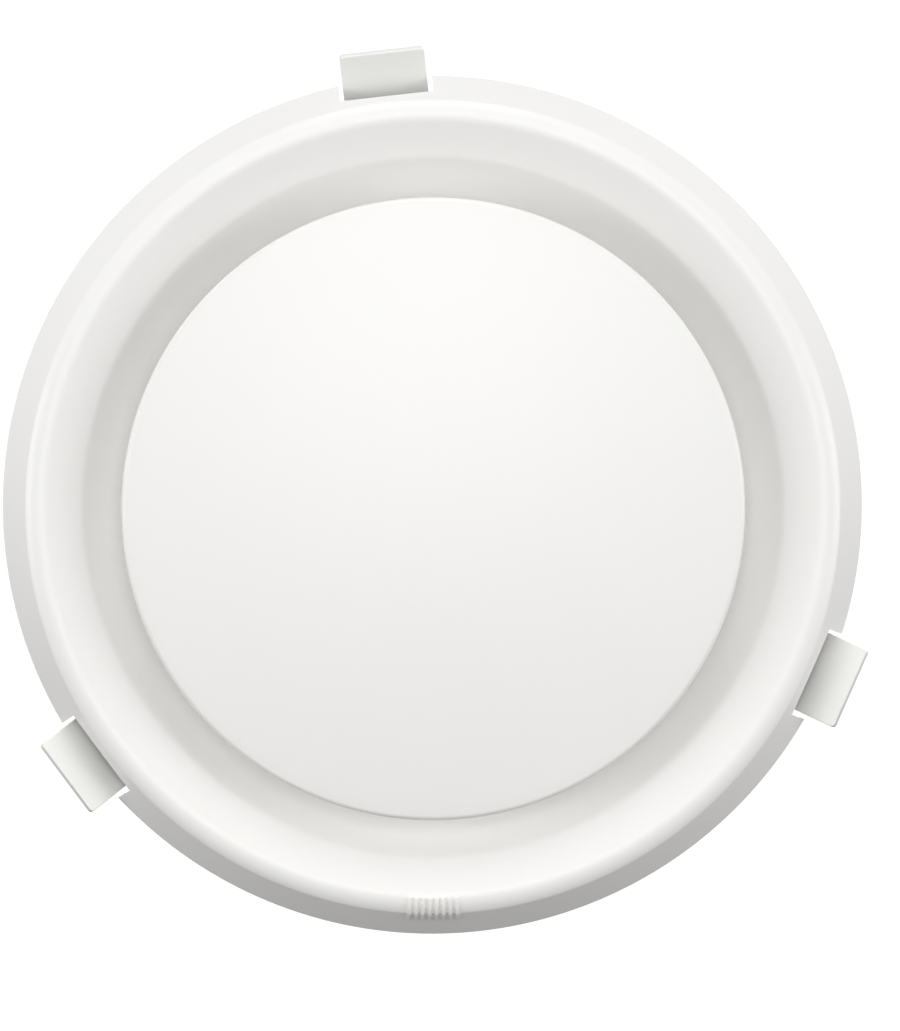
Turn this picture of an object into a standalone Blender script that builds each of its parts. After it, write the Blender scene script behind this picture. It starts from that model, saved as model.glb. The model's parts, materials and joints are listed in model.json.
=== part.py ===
"""Round ceiling air diffuser with a screw-adjusted centre disc and three fold-back board clips.

The origin is the centre of the ceiling plane. +Z points up into the ceiling void, so the face
looks down along -Z. Metres throughout. The three clips stand 120 degrees apart, and the three
arms of the bridge stand halfway between them.
"""

import math

import bmesh
import bpy
from mathutils import Matrix, Vector

# ---------------------------------------------------------------- driving dimensions
GAP = 0.0003
SEGMENTS = 60

RIM_RADIUS = 0.145
SHELL = 0.0022
RIM_TILT = 51.0
CORNER_TILT = 35.0
SLOPE_TILT = -20.0
CONE_TILT = -38.0
NECK_TILT = -90.0
WALL_RUN = 0.0127
CORNER_ROUND = 0.0026
CREST_ROUND = 0.0082
SLOPE_RUN = 0.01085
THROAT_ROUND = 0.0080
CONE_RUN = 0.0154
NECK_ROUND = 0.0050
NECK_TOP = 0.0340

SPIGOT_RADIUS = 0.0990
SPIGOT_WALL = 0.0018
SPIGOT_TOP = 0.0620
SKIRT_BOTTOM = 0.0190

GASKET_INNER = 0.1300
GASKET_OUTER = 0.1346
GASKET_BOTTOM = -0.0086
GASKET_TOP = 0.0006

FIRST_CLIP_ANGLE = 23.5
CLIP_ANGLES = [FIRST_CLIP_ANGLE + 120.0 * n for n in range(3)]
ARM_ANGLES = [angle + 60.0 for angle in CLIP_ANGLES]

SEAT_FACE = 0.1070
SEAT_LOW = 0.0185
SEAT_HIGH = 0.0332
BRACKET_SHEET = 0.0015
CHEEK_GAP = 0.0147
CHEEK_REACH = 0.0122
HINGE_RADIUS = 0.1145
HINGE_HEIGHT = 0.0170
PIN_RADIUS = 0.00125
PIN_HOLE = 0.00155
BLADE_WIDTH = 0.0285
BLADE_THICKNESS = 0.0024
BLADE_TIP_RADIUS = 0.1540
BLADE_TIP_HEIGHT = -0.0050
TIP_ROUND = 0.0008
KNUCKLE_RADIUS = 0.0034
HEEL_REACH = 0.0063
HEEL_ANGLE = 247.0
HEEL_TIP = 6.0
HEEL_SPREAD = 38.0
SPRING_BAY = 0.0085
NOTCH_WIDTH = 0.0315
NOTCH_RADIUS = 0.1389

DISC_RADIUS = 0.1042
DISC_SHELL = 0.0022
DISC_SKIRT_TOP = -0.0120
DISC_SKIRT_RUN = 0.0050
DISC_EDGE_ROUND = 0.0019
DISC_EDGE_TILT = 7.6

SPINDLE_RADIUS = 0.0050
SPINDLE_TOP = 0.0560
SPINDLE_FOOT = -0.0165
BUSH_TOP = 0.0360
BUSH_FLANGE = 0.0152
HUB_TOP = -0.0095
HUB_FLANGE_TOP = -0.0172
HUB_FLANGE_BOTTOM = -0.0195
HUB_SCREW_CIRCLE = 0.0175
HUB_SCREW_ANGLES = [32.0 + 120.0 * n for n in range(3)]
HUB_PIN_HEIGHT = -0.0132
HUB_PIN_HOLE = 0.00135
OPEN_TRAVEL = 0.0080
WASHER_THICKNESS = 0.0015
BRIDGE_LOW = 0.0205
BRIDGE_HIGH = 0.0335
BRIDGE_FOOT_RADIUS = 0.0994
NECK_SCREW_HEIGHT = 0.0270

# ---------------------------------------------------------------- the scene
for old in list(bpy.data.objects):
    bpy.data.objects.remove(old, do_unlink=True)

PARTS = bpy.data.collections.new("ceiling_air_diffuser")
CUTTERS = bpy.data.collections.new("ceiling_air_diffuser_cutters")
for collection in (PARTS, CUTTERS):
    bpy.context.scene.collection.children.link(collection)


def finish(name, colour, roughness, metallic=0.0):
    """A plain painted, moulded or plated finish."""
    made = bpy.data.materials.new(name)
    made.use_nodes = True
    shader = made.node_tree.nodes["Principled BSDF"]
    shader.inputs["Base Color"].default_value = (*colour, 1.0)
    shader.inputs["Roughness"].default_value = roughness
    shader.inputs["Metallic"].default_value = metallic
    made.diffuse_color = (*colour, 1.0)
    return made


WHITE_ABS = (0.90, 0.89, 0.87)
NATURAL_NYLON = (0.80, 0.80, 0.76)
ZINC = (0.62, 0.63, 0.64)
STEEL = (0.46, 0.46, 0.47)
BRASS = (0.72, 0.55, 0.27)
BLACK = (0.03, 0.03, 0.03)
DARK_FOAM = (0.10, 0.10, 0.11)
GREY_NYLON = (0.62, 0.63, 0.63)


# ---------------------------------------------------------------- shapes
def walk(start, tilt, steps):
    """Points and facing tilts along a surface, from its outer edge inwards.

    A tilt is the angle of the surface's face from straight down, positive outwards. A run goes
    straight; a turn rolls over a radius to a new, smaller tilt in a number of pieces.
    """
    r, z = start
    points = [(r, z, tilt)]
    for kind, size, *rest in steps:
        if kind == "run":
            r -= size * math.cos(math.radians(tilt))
            z -= size * math.sin(math.radians(tilt))
            points.append((r, z, tilt))
            continue
        new_tilt, pieces = rest
        centre_r = r - size * math.sin(math.radians(tilt))
        centre_z = z + size * math.cos(math.radians(tilt))
        for n in range(1, pieces + 1):
            angle = math.radians(tilt + (new_tilt - tilt) * n / pieces)
            r = centre_r + size * math.sin(angle)
            z = centre_z - size * math.cos(angle)
            points.append((r, z, math.degrees(angle)))
        tilt = new_tilt
    return points


def behind(points, thickness):
    """The same surface seen from its back, a thickness away."""
    moved = []
    for r, z, tilt in points:
        angle = math.radians(tilt)
        moved.append((r - thickness * math.sin(angle), z + thickness * math.cos(angle)))
    return moved


def new_object(name, data, colour_name, colour, roughness, metallic, collection):
    made = bpy.data.objects.new(name, data)
    collection.objects.link(made)
    if collection is PARTS:
        data.materials.append(finish(colour_name, colour, roughness, metallic))
    else:
        made.hide_render = True
        made.display_type = "WIRE"
    return made


def part(name, data, colour, roughness=0.4, metallic=0.0):
    return new_object(name, data, name, colour, roughness, metallic, PARTS)


def cutter(name, data):
    return new_object(name, data, name, None, None, None, CUTTERS)


def outline_mesh(name, points, closed):
    mesh = bpy.data.meshes.new(name)
    last = len(points) if closed else len(points) - 1
    edges = [(n, (n + 1) % len(points)) for n in range(last)]
    mesh.from_pydata([(r, 0.0, z) for r, z in points], edges, [])
    return mesh


def turned(name, points, colour, roughness=0.4, metallic=0.0, segments=SEGMENTS, closed=True):
    """A turned piece from its section, which runs down its outer side."""
    made = part(name, outline_mesh(name, points, closed), colour, roughness, metallic)
    screw = made.modifiers.new("turn", "SCREW")
    screw.steps = segments
    screw.render_steps = segments
    screw.use_merge_vertices = True
    screw.merge_threshold = 0.00001
    return made


def boxes(name, list_of_boxes):
    """One mesh of boxes that don't meet, each (centre, size, turn about Z in degrees)."""
    shape = bmesh.new()
    for centre, size, turn in list_of_boxes:
        place = Matrix.Rotation(math.radians(turn), 4, "Z") @ Matrix.Translation(centre)
        bmesh.ops.create_cube(shape, size=1.0, matrix=place @ Matrix.Diagonal((*size, 1.0)))
    return to_mesh(name, shape)


def rods(name, list_of_rods, sides=16):
    """One mesh of cylinders that don't meet, each (start, end, radius, turn about Z in degrees)."""
    shape = bmesh.new()
    for start, end, radius, turn in list_of_rods:
        start, end = Vector(start), Vector(end)
        along = end - start
        place = Matrix.Rotation(math.radians(turn), 4, "Z") @ Matrix.Translation((start + end) / 2)
        place = place @ along.to_track_quat("Z", "Y").to_matrix().to_4x4()
        bmesh.ops.create_cone(
            shape, cap_ends=True, segments=sides, radius1=radius, radius2=radius,
            depth=along.length, matrix=place,
        )
    return to_mesh(name, shape)


def to_mesh(name, shape):
    mesh = bpy.data.meshes.new(name)
    shape.to_mesh(mesh)
    shape.free()
    return mesh


def combine(body, tool, operation):
    step = body.modifiers.new(tool.name, "BOOLEAN")
    step.operation = operation
    step.object = tool
    step.solver = "EXACT"


def cut(body, mesh):
    combine(body, cutter(mesh.name, mesh), "DIFFERENCE")


def add(body, mesh):
    combine(body, cutter(mesh.name, mesh), "UNION")


def prism(name, points, width):
    """A flat outline in X and Z, made solid across Y about the XZ plane."""
    curve = bpy.data.curves.new(name, "CURVE")
    curve.dimensions = "2D"
    curve.fill_mode = "BOTH"
    curve.extrude = width / 2
    line = curve.splines.new("POLY")
    line.points.add(len(points) - 1)
    for point, (x, z) in zip(line.points, points):
        point.co = (x, z, 0.0, 1.0)
    line.use_cyclic_u = True
    flat = bpy.data.objects.new(name, curve)
    CUTTERS.objects.link(flat)
    mesh = evaluated_mesh(flat)
    bpy.data.objects.remove(flat, do_unlink=True)
    mesh.transform(Matrix.Rotation(math.radians(90.0), 4, "X"))
    shape = bmesh.new()
    shape.from_mesh(mesh)
    bmesh.ops.remove_doubles(shape, verts=shape.verts, dist=0.000001)
    bmesh.ops.recalc_face_normals(shape, faces=shape.faces)
    shape.to_mesh(mesh)
    shape.free()
    return mesh


def evaluated_mesh(thing):
    bpy.context.view_layer.update()
    graph = bpy.context.evaluated_depsgraph_get()
    return bpy.data.meshes.new_from_object(thing.evaluated_get(graph))


def settle(thing):
    """Make a piece's modifiers part of its mesh, so that its copies can share it."""
    mesh = evaluated_mesh(thing)
    thing.modifiers.clear()
    thing.data = mesh
    return mesh


def smooth(thing, angle=35.0):
    thing.data.shade_smooth()
    thing.data.set_sharp_from_angle(angle=math.radians(angle))


def arc(centre, radius, start, end, pieces):
    """Points on an arc in X and Z, its angles in degrees from +X towards +Z."""
    steps = [math.radians(start + (end - start) * n / pieces) for n in range(pieces + 1)]
    return [(centre[0] + radius * math.cos(a), centre[1] + radius * math.sin(a)) for a in steps]


def pan_screw_section(head_radius, head_height, shank_radius, length):
    """Section of a pan-head screw, its seat at zero and its shank running down."""
    return [
        (0.0, head_height),
        (head_radius * 0.70, head_height * 0.85),
        (head_radius, head_height * 0.35),
        (head_radius, 0.0),
        (shank_radius, 0.0),
        (shank_radius, -length + shank_radius),
        (0.0, -length),
    ]


def screw_mesh(name, head_radius, head_height, shank_radius, length):
    section = pan_screw_section(head_radius, head_height, shank_radius, length)
    model = turned(name, section, ZINC, 0.35, 1.0, 12, closed=False)
    mesh = settle(model)
    bpy.data.objects.remove(model, do_unlink=True)
    return mesh


def facing_out(angle, radius, height):
    """Place a piece whose own +Z is to point away from the axis."""
    turn = Matrix.Rotation(math.radians(angle), 4, "Z")
    lay = Matrix.Rotation(math.radians(90.0), 4, "Y")
    return turn @ Matrix.Translation((radius, 0.0, height)) @ lay


# ---------------------------------------------------------------- face ring
def face_surface():
    return walk(
        (RIM_RADIUS, 0.0), RIM_TILT,
        [
            ("run", WALL_RUN),
            ("turn", CORNER_ROUND, CORNER_TILT, 2),
            ("turn", CREST_ROUND, SLOPE_TILT, 5),
            ("run", SLOPE_RUN),
            ("turn", THROAT_ROUND, CONE_TILT, 2),
            ("run", CONE_RUN),
            ("turn", NECK_ROUND, NECK_TILT, 2),
        ],
    )


def make_face_ring():
    surface = face_surface()
    front = [(r, z) for r, z, tilt in surface]
    back = behind(surface, SHELL)
    rim_edge = SHELL / math.sin(math.radians(RIM_TILT))
    back[0] = (RIM_RADIUS - rim_edge, 0.0)
    neck_inner = front[-1][0]
    front.append((neck_inner, NECK_TOP))
    back.append((neck_inner + SHELL, NECK_TOP))
    ring = turned("face_ring", front + list(reversed(back)), WHITE_ABS, 0.30)

    seat_depth = SEAT_FACE - neck_inner - SHELL / 2
    seat_centre = (SEAT_FACE - seat_depth / 2, 0.0, (SEAT_LOW + SEAT_HIGH) / 2)
    seat_size = (seat_depth, 2 * CHEEK_GAP, SEAT_HIGH - SEAT_LOW)
    add(ring, boxes("clip_seats", [(seat_centre, seat_size, a) for a in CLIP_ANGLES]))

    notch_size = (0.020, NOTCH_WIDTH, 0.024)
    notch_centre = (NOTCH_RADIUS + notch_size[0] / 2, 0.0, 0.0)
    cut(ring, boxes("rim_notches", [(notch_centre, notch_size, a) for a in CLIP_ANGLES]))

    holes = [
        ((neck_inner - 0.003, 0.0, NECK_SCREW_HEIGHT), (0.112, 0.0, NECK_SCREW_HEIGHT), 0.0021, a)
        for a in ARM_ANGLES
    ]
    cut(ring, rods("ring_screw_holes", holes, 12))
    seat_holes = [
        ((neck_inner + SHELL / 2 + 0.0012, side, height), (0.112, side, height), 0.0013, a)
        for a in CLIP_ANGLES
        for side, height in bracket_screw_places()
    ]
    cut(ring, rods("seat_screw_holes", seat_holes, 10))
    settle(ring)
    smooth(ring)
    return neck_inner


def bracket_screw_places():
    """Offsets along the rim and heights of one bracket's two screws."""
    return [(-0.0105, 0.0285), (0.0105, 0.0285)]


# ---------------------------------------------------------------- gasket, spigot and duct seal
def make_gasket():
    section = [
        (GASKET_OUTER, GASKET_TOP),
        (GASKET_OUTER, GASKET_BOTTOM),
        (GASKET_INNER, GASKET_BOTTOM),
        (GASKET_INNER, GASKET_TOP),
    ]
    smooth(turned("ceiling_gasket", section, DARK_FOAM, 0.9))


def make_spigot(neck_inner):
    skirt_outer = neck_inner - GAP
    shoulder_low = NECK_TOP + GAP
    shoulder_outer = neck_inner + SHELL
    bore = SPIGOT_RADIUS - SPIGOT_WALL
    section = [
        (SPIGOT_RADIUS, SPIGOT_TOP),
        (SPIGOT_RADIUS, 0.0590),
        (SPIGOT_RADIUS + 0.0009, 0.0575),
        (SPIGOT_RADIUS, 0.0560),
        (SPIGOT_RADIUS, shoulder_low + 0.0022),
        (shoulder_outer, shoulder_low + 0.0022),
        (shoulder_outer, shoulder_low),
        (skirt_outer, shoulder_low),
        (skirt_outer, SKIRT_BOTTOM),
        (skirt_outer - SPIGOT_WALL, SKIRT_BOTTOM),
        (skirt_outer - SPIGOT_WALL, shoulder_low),
        (bore, shoulder_low + 0.0030),
        (bore, SPIGOT_TOP),
    ]
    spigot = turned("duct_spigot", section, WHITE_ABS, 0.38)
    holes = [
        ((bore - 0.004, 0.0, NECK_SCREW_HEIGHT), (0.110, 0.0, NECK_SCREW_HEIGHT), 0.0021, a)
        for a in ARM_ANGLES
    ]
    cut(spigot, rods("spigot_screw_holes", holes, 12))
    settle(spigot)
    smooth(spigot)


def make_duct_seal():
    inner = SPIGOT_RADIUS + GAP
    band = inner + 0.0012
    tip = inner + 0.0030
    section = [
        (band, 0.0540),
        (band, 0.0524),
        (tip, 0.0500),
        (band, 0.0510),
        (band, 0.0474),
        (tip, 0.0450),
        (band, 0.0460),
        (band, 0.0440),
        (inner, 0.0440),
        (inner, 0.0540),
    ]
    smooth(turned("duct_seal", section, BLACK, 0.75))


# ---------------------------------------------------------------- bridge and its bush
def make_bridge():
    hub_radius, hub_low = 0.0115, 0.0170
    hub_high = BUSH_TOP - GAP
    section = [(hub_radius, hub_high), (hub_radius, hub_low), (0.0080, hub_low), (0.0080, hub_high)]
    bridge = turned("bridge_spider", section, GREY_NYLON, 0.5, segments=48)
    height = BRIDGE_HIGH - BRIDGE_LOW
    middle = (BRIDGE_HIGH + BRIDGE_LOW) / 2
    arm_start, arm_end = 0.0095, BRIDGE_FOOT_RADIUS - 0.0015
    arm_size = (arm_end - arm_start, 0.0032, height - 0.0010)
    arm_centre = ((arm_start + arm_end) / 2, 0.0, middle)
    add(bridge, boxes("bridge_arms", [(arm_centre, arm_size, a) for a in ARM_ANGLES]))
    foot_size = (0.0030, 0.0160, height)
    foot_centre = (BRIDGE_FOOT_RADIUS - foot_size[0] / 2, 0.0, middle)
    add(bridge, boxes("bridge_feet", [(foot_centre, foot_size, a) for a in ARM_ANGLES]))
    holes = [
        ((0.0890, 0.0, NECK_SCREW_HEIGHT), (0.1050, 0.0, NECK_SCREW_HEIGHT), 0.0019, a)
        for a in ARM_ANGLES
    ]
    cut(bridge, rods("bridge_screw_holes", holes, 12))
    settle(bridge)
    smooth(bridge)


def make_bush():
    bore, body, flange = SPINDLE_RADIUS + 0.0005, 0.0077, 0.0108
    section = [
        (body - 0.0006, BUSH_TOP),
        (body, BUSH_TOP - 0.0006),
        (body, BUSH_FLANGE + 0.0015),
        (flange, BUSH_FLANGE + 0.0015),
        (flange, BUSH_FLANGE),
        (bore + 0.0005, BUSH_FLANGE),
        (bore, BUSH_FLANGE + 0.0005),
        (bore, BUSH_TOP),
    ]
    smooth(turned("spindle_bush", section, BRASS, 0.3, 1.0, segments=32))


def make_neck_screws():
    mesh = screw_mesh("neck_screw", 0.0034, 0.0022, 0.0015, 0.0140)
    for number, angle in enumerate(ARM_ANGLES, 1):
        screw = part(f"neck_screw_{number}", mesh.copy(), ZINC, 0.35, 1.0)
        screw.data.materials.pop(index=0)
        screw.matrix_world = facing_out(angle, 0.1047 + GAP, NECK_SCREW_HEIGHT)
        smooth(screw)


# ---------------------------------------------------------------- centre disc and its spindle
def disc_surface():
    edge = math.radians(DISC_EDGE_TILT)
    dome = (DISC_RADIUS - DISC_EDGE_ROUND * (1 - math.sin(edge))) / math.sin(edge)
    return walk(
        (DISC_RADIUS, DISC_SKIRT_TOP), 90.0,
        [
            ("run", DISC_SKIRT_RUN),
            ("turn", DISC_EDGE_ROUND, DISC_EDGE_TILT, 3),
            ("turn", dome, 0.0, 5),
        ],
    )


def make_disc():
    surface = disc_surface()
    front = [(r, z) for r, z, tilt in surface]
    back = behind(surface, DISC_SHELL)
    front[-1] = (0.0, front[-1][1])
    back[-1] = (0.0, back[-1][1])
    section = list(reversed(back)) + front
    disc = turned("disc_plate", section, WHITE_ABS, 0.28, closed=False)
    low = back[-1][1]
    top = HUB_FLANGE_BOTTOM - GAP
    bosses = [
        ((HUB_SCREW_CIRCLE, 0.0, low - 0.0006), (HUB_SCREW_CIRCLE, 0.0, top), 0.0042, a)
        for a in HUB_SCREW_ANGLES
    ]
    add(disc, rods("disc_bosses", bosses, 20))
    pilots = [
        ((HUB_SCREW_CIRCLE, 0.0, top - 0.0034), (HUB_SCREW_CIRCLE, 0.0, top + 0.002), 0.0016, a)
        for a in HUB_SCREW_ANGLES
    ]
    cut(disc, rods("disc_pilots", pilots, 10))
    settle(disc)
    smooth(disc)


def make_disc_hub():
    boss, flange, bore = 0.0095, 0.0240, SPINDLE_RADIUS + 0.00035
    section = [
        (bore, HUB_TOP),
        (boss, HUB_TOP),
        (boss, HUB_FLANGE_TOP + 0.0012),
        (boss + 0.0012, HUB_FLANGE_TOP),
        (flange, HUB_FLANGE_TOP),
        (flange, HUB_FLANGE_BOTTOM),
        (0.0, HUB_FLANGE_BOTTOM),
    ]
    floor = SPINDLE_FOOT - GAP
    section = [(0.0, floor), (bore, floor)] + section
    hub = turned("disc_hub", section, GREY_NYLON, 0.5, segments=46, closed=False)
    holes = [
        ((HUB_SCREW_CIRCLE, 0.0, HUB_FLANGE_BOTTOM - 0.002), (HUB_SCREW_CIRCLE, 0.0, HUB_TOP), 0.0018, a)
        for a in HUB_SCREW_ANGLES
    ]
    cut(hub, rods("hub_screw_holes", holes, 12))
    cut(hub, cross_hole("hub_pin_hole"))
    settle(hub)
    smooth(hub)


def cross_hole(name):
    """The hole for the pin that locks the spindle into the hub."""
    start, end = (0.0, -0.012, HUB_PIN_HEIGHT), (0.0, 0.012, HUB_PIN_HEIGHT)
    return rods(name, [(start, end, HUB_PIN_HOLE, 0.0)], 12)


def make_hub_screws():
    mesh = screw_mesh("hub_screw", 0.0028, 0.0018, 0.0012, 0.0055)
    for number, angle in enumerate(HUB_SCREW_ANGLES, 1):
        screw = part(f"hub_screw_{number}", mesh.copy(), ZINC, 0.35, 1.0)
        screw.data.materials.pop(index=0)
        turn = Matrix.Rotation(math.radians(angle), 4, "Z")
        place = Matrix.Translation((HUB_SCREW_CIRCLE, 0.0, HUB_FLANGE_TOP + GAP))
        screw.matrix_world = turn @ place
        smooth(screw)


def make_spindle():
    section = [
        (0.0, SPINDLE_TOP),
        (SPINDLE_RADIUS - 0.0010, SPINDLE_TOP),
        (SPINDLE_RADIUS, SPINDLE_TOP - 0.0010),
        (SPINDLE_RADIUS, SPINDLE_FOOT + 0.0006),
        (SPINDLE_RADIUS - 0.0006, SPINDLE_FOOT),
        (0.0, SPINDLE_FOOT),
    ]
    spindle = turned("adjusting_spindle", section, BLACK, 0.4, segments=26, closed=False)
    cut(spindle, cross_hole("spindle_pin_hole"))
    settle(spindle)
    smooth(spindle)


def make_hub_pin():
    start, end = (0.0, -0.0092, HUB_PIN_HEIGHT), (0.0, 0.0092, HUB_PIN_HEIGHT)
    mesh = rods("hub_pin", [(start, end, HUB_PIN_HOLE - GAP, 0.0)], 12)
    smooth(part("hub_pin", mesh, STEEL, 0.3, 1.0))


def make_travel_stop():
    washer_low = BUSH_TOP + GAP + OPEN_TRAVEL
    washer_high = washer_low + WASHER_THICKNESS
    bore = SPINDLE_RADIUS + 0.0004
    section = [(0.0110, washer_high), (0.0110, washer_low), (bore, washer_low), (bore, washer_high)]
    smooth(turned("stop_washer", section, NATURAL_NYLON, 0.45, segments=32))
    nut_low = washer_high + GAP
    hexagon = ((0.0, 0.0, nut_low), (0.0, 0.0, nut_low + 0.0072), 0.0095, 10.0)
    nut = part("stop_nut", rods("stop_nut", [hexagon], 6), ZINC, 0.35, 1.0)
    bore_rod = ((0.0, 0.0, nut_low - 0.002), (0.0, 0.0, nut_low + 0.010), SPINDLE_RADIUS + 0.00035, 0.0)
    cut(nut, rods("stop_nut_bore", [bore_rod], 24))
    settle(nut)
    smooth(nut)


# ---------------------------------------------------------------- board clips
def bracket_mesh():
    """A folded sheet bracket in its mount's frame: a back plate and two cheeks."""
    back_x = SEAT_FACE + GAP
    outer = CHEEK_GAP + BRACKET_SHEET
    plate_size = (BRACKET_SHEET, 2 * outer, SEAT_HIGH - SEAT_LOW)
    plate_centre = (back_x + BRACKET_SHEET / 2, 0.0, (SEAT_HIGH + SEAT_LOW) / 2)
    bracket = part("clip_bracket", boxes("clip_bracket", [(plate_centre, plate_size, 0.0)]), ZINC, 0.45, 1.0)
    reach = back_x + CHEEK_REACH
    cheek = [
        (back_x + 0.0002, SEAT_HIGH - 0.0002),
        (back_x + 0.0002, HINGE_HEIGHT - 0.0040),
        (back_x + 0.0062, HINGE_HEIGHT - 0.0064),
        (reach, HINGE_HEIGHT - 0.0064),
        (reach, HINGE_HEIGHT + 0.0030),
        (back_x + 0.0060, SEAT_HIGH - 0.0002),
    ]
    for side, name in ((1, "cheek_left"), (-1, "cheek_right")):
        mesh = prism(name, cheek, BRACKET_SHEET - 0.0002)
        mesh.transform(Matrix.Translation((0.0, side * (CHEEK_GAP + BRACKET_SHEET / 2), 0.0)))
        add(bracket, mesh)
    pin_hole = ((HINGE_RADIUS, -0.02, HINGE_HEIGHT), (HINGE_RADIUS, 0.02, HINGE_HEIGHT), PIN_HOLE, 0.0)
    cut(bracket, rods("bracket_pin_hole", [pin_hole], 16))
    screw_holes = [
        ((back_x - 0.001, side, height), (back_x + 0.003, side, height), 0.0016, 0.0)
        for side, height in bracket_screw_places()
    ]
    cut(bracket, rods("bracket_screw_holes", screw_holes, 12))
    mesh = settle(bracket)
    bpy.data.objects.remove(bracket, do_unlink=True)
    return mesh


def blade_mesh():
    """The plastic clip blade about its pin: knuckles, a flat leaf down to the rim and a stop heel.

    The heel points at the bracket's back plate, and meets it if the leaf is pushed below its rest.
    """
    reach = BLADE_TIP_RADIUS - HINGE_RADIUS
    drop = BLADE_TIP_HEIGHT - HINGE_HEIGHT
    length = math.hypot(reach, drop)
    half = BLADE_THICKNESS / 2
    start = math.degrees(math.asin(half / KNUCKLE_RADIUS))
    side = arc((0.0, 0.0), KNUCKLE_RADIUS, start, HEEL_ANGLE - HEEL_SPREAD, 12)
    side += arc((0.0, 0.0), HEEL_REACH, HEEL_ANGLE - HEEL_TIP, HEEL_ANGLE + HEEL_TIP, 2)
    side += arc((0.0, 0.0), KNUCKLE_RADIUS, HEEL_ANGLE + HEEL_SPREAD, 360.0 - start, 3)
    side += [(length - TIP_ROUND, -half), (length, -half + TIP_ROUND)]
    side += [(length, half - TIP_ROUND), (length - TIP_ROUND, half)]
    blade = part("clip_blade", prism("clip_blade", side, BLADE_WIDTH), NATURAL_NYLON, 0.4)
    bay = ((0.0, -SPRING_BAY, 0.0), (0.0, SPRING_BAY, 0.0), KNUCKLE_RADIUS + 0.0014, 0.0)
    cut(blade, rods("spring_bay", [bay], 24))
    cut(blade, rods("blade_bore", [((0.0, -0.02, 0.0), (0.0, 0.02, 0.0), PIN_HOLE, 0.0)], 16))
    mesh = settle(blade)
    bpy.data.objects.remove(blade, do_unlink=True)
    mesh.transform(Matrix.Rotation(-math.atan2(drop, reach), 4, "Y"))
    return mesh


def pin_mesh():
    """A headed hinge pin along Y, about its middle."""
    half = CHEEK_GAP + BRACKET_SHEET
    section = [
        (0.0, half + 0.0014),
        (0.0022, half + 0.0012),
        (0.0022, half + GAP),
        (PIN_RADIUS, half + GAP),
        (PIN_RADIUS, -half - 0.0012),
        (0.0, -half - 0.0016),
    ]
    model = turned("hinge_pin", section, STEEL, 0.3, 1.0, 16, closed=False)
    mesh = settle(model)
    bpy.data.objects.remove(model, do_unlink=True)
    mesh.transform(Matrix.Rotation(math.radians(-90.0), 4, "X"))
    return mesh


def spring_mesh():
    """The outer shape of the torsion spring's coil, a sleeve about the pin."""
    half, outer, inner = SPRING_BAY - 0.0006, 0.0033, 0.0019
    section = [(outer, half), (outer, -half), (inner, -half), (inner, half)]
    model = turned("clip_spring", section, STEEL, 0.3, 1.0, 20)
    mesh = settle(model)
    bpy.data.objects.remove(model, do_unlink=True)
    mesh.transform(Matrix.Rotation(math.radians(-90.0), 4, "X"))
    return mesh


def shared(name, mesh, mount, location, colour, roughness, metallic):
    """One more copy of a repeated piece, placed in a clip's own frame."""
    copy = mesh.copy()
    copy.materials.clear()
    made = part(name, copy, colour, roughness, metallic)
    made.parent = mount
    made.location = location
    smooth(made)
    return made


def make_clips():
    bracket, blade, pin, spring = bracket_mesh(), blade_mesh(), pin_mesh(), spring_mesh()
    screw = screw_mesh("bracket_screw", 0.0024, 0.0016, 0.0010, 0.0035)
    screw.transform(Matrix.Rotation(math.radians(90.0), 4, "Y"))
    hinge = (HINGE_RADIUS, 0.0, HINGE_HEIGHT)
    seat = SEAT_FACE + GAP + BRACKET_SHEET + GAP
    for number, angle in enumerate(CLIP_ANGLES, 1):
        mount = bpy.data.objects.new(f"clip_mount_{number}", None)
        PARTS.objects.link(mount)
        mount.rotation_euler = (0.0, 0.0, math.radians(angle))
        shared(f"clip_bracket_{number}", bracket, mount, (0.0, 0.0, 0.0), ZINC, 0.45, 1.0)
        shared(f"clip_blade_{number}", blade, mount, hinge, NATURAL_NYLON, 0.4, 0.0)
        shared(f"hinge_pin_{number}", pin, mount, hinge, STEEL, 0.3, 1.0)
        shared(f"clip_spring_{number}", spring, mount, hinge, STEEL, 0.3, 1.0)
        for place, (side, height) in zip(("a", "b"), bracket_screw_places()):
            shared(f"bracket_screw_{number}{place}", screw, mount, (seat, side, height), ZINC, 0.35, 1.0)


# ---------------------------------------------------------------- the whole diffuser
neck_bore = make_face_ring()
make_gasket()
make_spigot(neck_bore)
make_duct_seal()
make_bridge()
make_bush()
make_neck_screws()
make_disc()
make_disc_hub()
make_hub_screws()
make_spindle()
make_hub_pin()
make_travel_stop()
make_clips()
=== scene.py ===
"""The finished look of a round ceiling air diffuser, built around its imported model.

Metres throughout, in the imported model's frame: +Z points up into the ceiling void, so the face
looks down along -Z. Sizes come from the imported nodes' boxes and joints where they say them.
"""
import json
import math

import bmesh
import bpy
from mathutils import Matrix, Vector

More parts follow.
